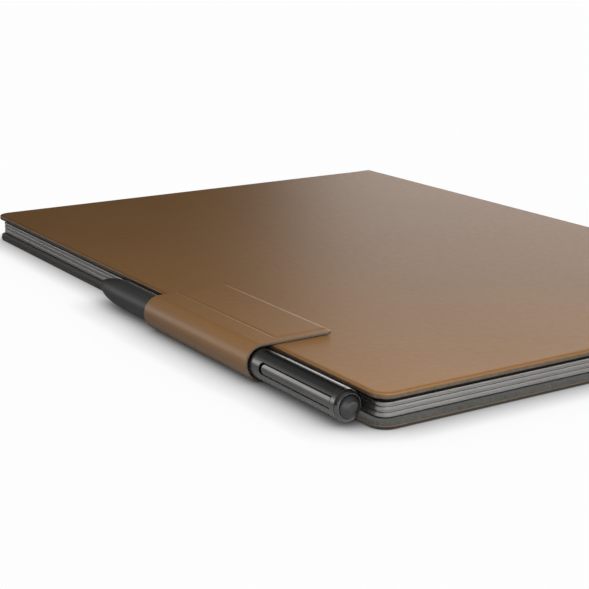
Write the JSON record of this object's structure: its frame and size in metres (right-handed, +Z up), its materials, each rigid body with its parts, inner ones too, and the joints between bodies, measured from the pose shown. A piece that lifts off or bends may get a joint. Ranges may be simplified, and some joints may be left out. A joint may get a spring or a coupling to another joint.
{
  "type": "e-reader",
  "caption": "Slim pen e-reader with a ribbed metal frame in a leather book folio; the folio's magnetic closure flap wraps round a stylus clipped along the fore edge.",
  "frame": {"origin": "centre of the object's box, on the surface it lies on", "axes": "+Z up through the front cover, +X from the open fore edge to the spine, +Y along the long edge, away from the pen's end button"},
  "size_m": [0.186, 0.2536, 0.0108],
  "materials": {
    "leather_brown": "smooth full-grain leather, satin",
    "felt_grey": "dark grey microfibre",
    "board": "stiff fibre board",
    "magnet": "plated magnet",
    "frame_alu": "ribbed, satin anodised",
    "plate_alu": "stamped sheet",
    "button_alu": "satin anodised",
    "rear_black": "matt black",
    "screw_steel": "blackened",
    "foot_rubber": "matt",
    "pcb": "solder mask",
    "epaper": "matt light grey",
    "clear_film": "clear film",
    "gasket_black": "black",
    "cover_glass": "etched glass, dark border",
    "can_steel": "tinned sheet",
    "flex": "polyimide film",
    "battery": "pouch cell in black film",
    "pen_metal": "dark grey, semi-gloss",
    "pen_soft": "dark grey, soft touch",
    "pen_button": "dark grey, satin",
    "clip_metal": "satin, dark",
    "nib": "hard plastic",
    "coil": "enamelled copper on ferrite"
  },
  "bodies": {
    "base": {"back_cover_leather": "leather_brown", "back_cover_lining": "felt_grey", "back_cover_board": "board", "back_cover_magnets": "magnet", "loop_base_leather": "leather_brown", "loop_base_lining": "felt_grey", "mid_frame": "frame_alu", "rear_cover": "rear_black", "rear_cover_screws": "screw_steel", "rear_feet": "foot_rubber", "mid_plate": "plate_alu", "digitizer_board": "pcb", "epaper_panel": "epaper", "light_guide": "clear_film", "led_bar": "pcb", "touch_sensor": "clear_film", "bezel_gasket": "gasket_black", "cover_glass": "cover_glass", "mainboard": "pcb", "shield_cans": "can_steel", "usb_c_port": "can_steel", "display_flex": "flex", "digitizer_flex": "flex", "battery_cells": "battery", "battery_board": "pcb", "tablet_magnets": "magnet", "wifi_antenna": "flex", "power_switch": "pcb"},
    "spine": {"spine_leather": "leather_brown", "spine_board": "board", "spine_lining": "felt_grey"},
    "front_cover": {"front_cover_leather": "leather_brown", "front_cover_board": "board", "front_cover_magnets": "magnet", "front_cover_lining": "felt_grey"},
    "loop": {"loop_leather": "leather_brown", "loop_lining": "felt_grey"},
    "tab": {"tab_leather": "leather_brown", "tab_magnets": "magnet", "tab_lining": "felt_grey"},
    "power_key": {"power_button": "button_alu"},
    "pen": {"pen_body": "pen_metal", "pen_clip_ring": "clip_metal", "pen_end_cap": "pen_metal", "pen_end_switch": "pcb", "pen_grip": "pen_soft", "pen_cone": "pen_soft", "pen_coil": "coil", "pen_pressure_sensor": "pcb", "pen_circuit_board": "pcb"},
    "clip": {"pen_clip": "clip_metal"},
    "end_key": {"pen_end_button": "pen_button"},
    "nib": {"pen_nib": "nib"}
  },
  "joints": [
    {"name": "spine_fold", "type": "hinge", "parent": "base", "child": "spine", "pos_m": [0.09223, 0, 0.0008], "axis": [0, 1, 0], "range_deg": [0, 90]},
    {"name": "cover_fold", "type": "hinge", "parent": "spine", "child": "front_cover", "pos_m": [0.09223, 0, 0.00888], "axis": [0, 1, 0], "range_deg": [0, 90]},
    {"name": "loop_fold", "type": "hinge", "parent": "base", "child": "loop", "pos_m": [-0.09146, -0.04755, 0.00237], "axis": [0, -1, 0], "range_deg": [0, 100]},
    {"name": "tab_fold", "type": "hinge", "parent": "loop", "child": "tab", "pos_m": [-0.08157, -0.04755, 0.01032], "axis": [0, -1, 0], "range_deg": [0, 100]},
    {"name": "power_key_press", "type": "slide", "parent": "base", "child": "power_key", "axis": [0, -1, 0], "range_m": [0, 0.0003], "stiffness_N_per_m": 2500, "springref_m": -0.0001},
    {"name": "pen_slide", "type": "slide", "parent": "base", "child": "pen", "axis": [0, -1, 0], "range_m": [0, 0.11]},
    {"name": "clip_flex", "type": "hinge", "parent": "pen", "child": "clip", "pos_m": [-0.09156, -0.11635, 0.00632], "axis": [0.2147, 0, 0.9767], "range_deg": [0, 3], "stiffness_Nm_per_rad": 0.6, "springref_deg": -1.15},
    {"name": "end_key_press", "type": "slide", "parent": "pen", "child": "end_key", "axis": [0, 1, 0], "range_m": [0, 0.0004], "stiffness_N_per_m": 1500, "springref_m": -0.0001},
    {"name": "nib_press", "type": "slide", "parent": "pen", "child": "nib", "axis": [0, -1, 0], "range_m": [0, 0.0003], "stiffness_N_per_m": 2500, "springref_m": -0.0001}
  ]
}
